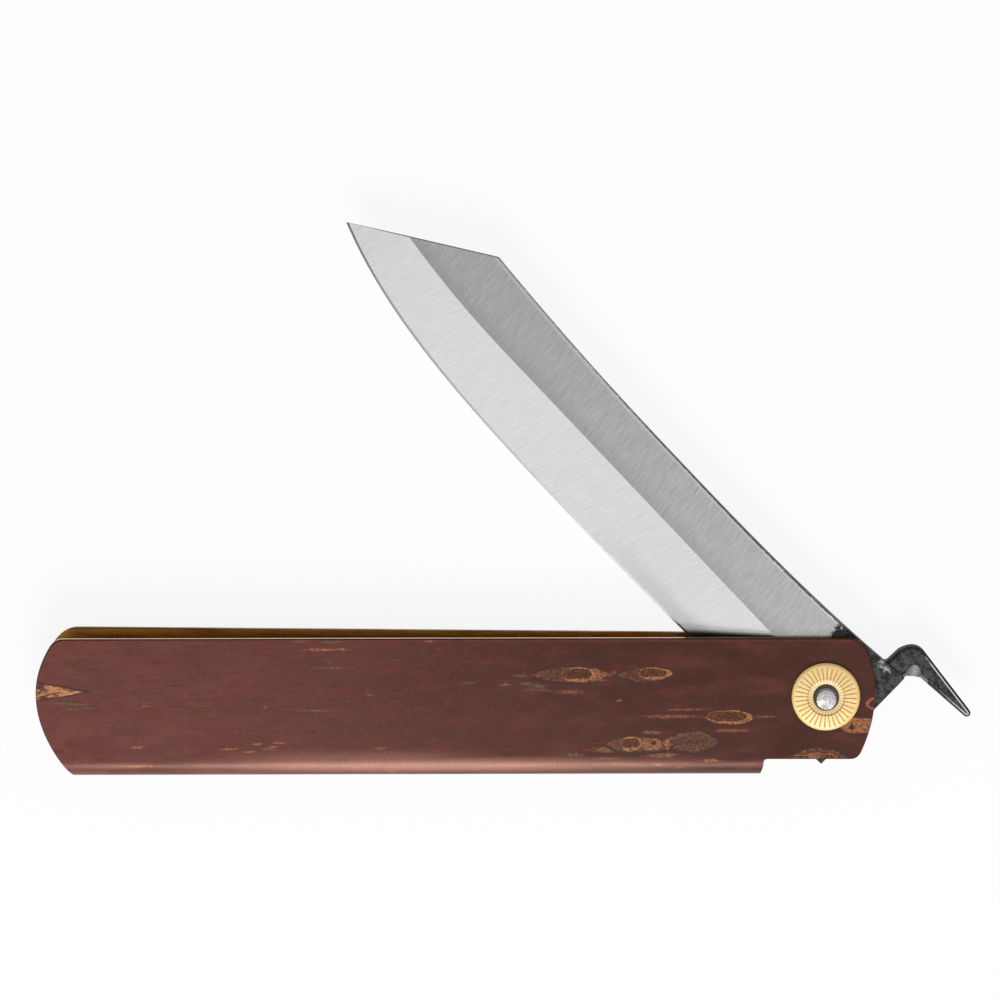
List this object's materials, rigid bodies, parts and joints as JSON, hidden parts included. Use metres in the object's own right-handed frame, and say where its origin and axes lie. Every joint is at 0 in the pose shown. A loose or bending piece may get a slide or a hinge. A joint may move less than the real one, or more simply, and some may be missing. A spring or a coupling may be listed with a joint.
{
  "type": "folding pocket knife",
  "caption": "Friction folding pocket knife: a folded brass channel handle wrapped in polished cherry bark, with a clip-tipped blade that opens by a curved thumb lever.",
  "frame": {"origin": "on the pivot axis, at the flat of the rear rivet head, which is the knife's lowest face", "axes": "+X along the handle towards its pivot end, +Y from the handle's fold to its open edge, +Z along the pivot axis towards the front face"},
  "size_m": [0.1339, 0.0792, 0.0083],
  "materials": {
    "sheet_brass": "aged, brushed sheet",
    "cherry_bark": "polished bark with paler lenticels, satin",
    "rivet_steel": "hammered, bright",
    "washer_brass": "stamped, bright",
    "blade_steel": "ground with fine scratches, dark forge scale on tang and lever"
  },
  "bodies": {
    "handle": {"handle_channel": "sheet_brass", "bark_wrap": "cherry_bark", "pivot_rivet": "rivet_steel", "washer_front": "washer_brass", "washer_rear": "washer_brass"},
    "blade": {"blade": "blade_steel"}
  },
  "joints": [
    {"name": "blade_pivot", "type": "hinge", "parent": "handle", "child": "blade", "pos_m": [0, 0, 0.00415], "axis": [0, 0, 1], "range_deg": [-133.8, 47.6]}
  ]
}
